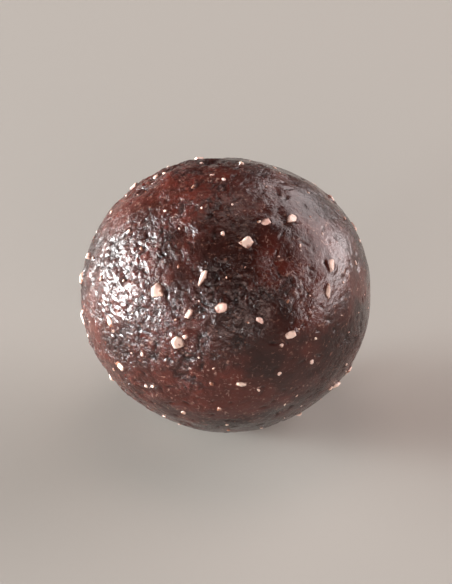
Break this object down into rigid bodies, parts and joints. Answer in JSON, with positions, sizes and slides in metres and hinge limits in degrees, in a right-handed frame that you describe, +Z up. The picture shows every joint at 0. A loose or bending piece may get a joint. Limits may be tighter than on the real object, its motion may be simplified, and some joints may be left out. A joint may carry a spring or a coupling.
{
  "type": "date energy ball",
  "caption": "Hand-rolled bite-size ball of dark date and cocoa paste, slightly uneven and moist, flecked with pale chopped nuts, resting on a small flat spot.",
  "frame": {"origin": "straight below the middle of the ball, on the small flat spot that it rests on", "axes": "+Z up, +X along the ball's widest way, front along -Y"},
  "size_m": [0.0321, 0.0313, 0.0299],
  "materials": {
    "date_paste": "moist, oily dark brown date and cocoa paste with a broken gloss",
    "chopped_nut": "pale cream chopped nut, smeared with paste at its edges"
  },
  "bodies": {
    "root": {"date_ball": "date_paste"}
  },
  "joints": []
}
